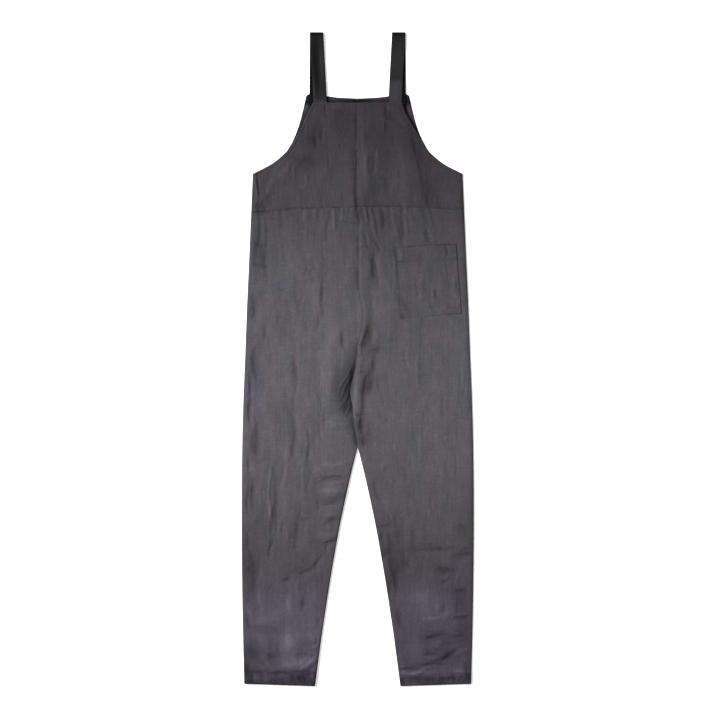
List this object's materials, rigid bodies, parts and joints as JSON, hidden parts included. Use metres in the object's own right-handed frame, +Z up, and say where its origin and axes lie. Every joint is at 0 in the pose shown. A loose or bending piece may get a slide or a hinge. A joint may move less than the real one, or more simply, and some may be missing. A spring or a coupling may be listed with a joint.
{
  "type": "dungarees",
  "caption": "Linen dungarees with a seamed bib, shoulder straps, tapered legs and a patch pocket, laid flat.",
  "frame": {"origin": "centre of the garment's footprint, at the surface it lies on", "axes": "+Z up from the surface, +Y along the garment from the hems to the straps, +X to the viewer's right looking down at its front"},
  "size_m": [0.5098, 1.4376, 0.0107],
  "materials": {
    "bib_linen": "washed charcoal linen",
    "leg_linen": "washed charcoal linen",
    "strap_linen": "washed charcoal linen"
  },
  "bodies": {
    "root": {"front_bib_left": "bib_linen", "front_bib_right": "bib_linen", "back_bib_left": "bib_linen", "back_bib_right": "bib_linen", "front_leg_left": "leg_linen", "front_leg_right": "leg_linen", "back_leg_left": "leg_linen", "back_leg_right": "leg_linen", "patch_pocket": "leg_linen", "strap_left": "strap_linen", "strap_right": "strap_linen"}
  },
  "joints": []
}
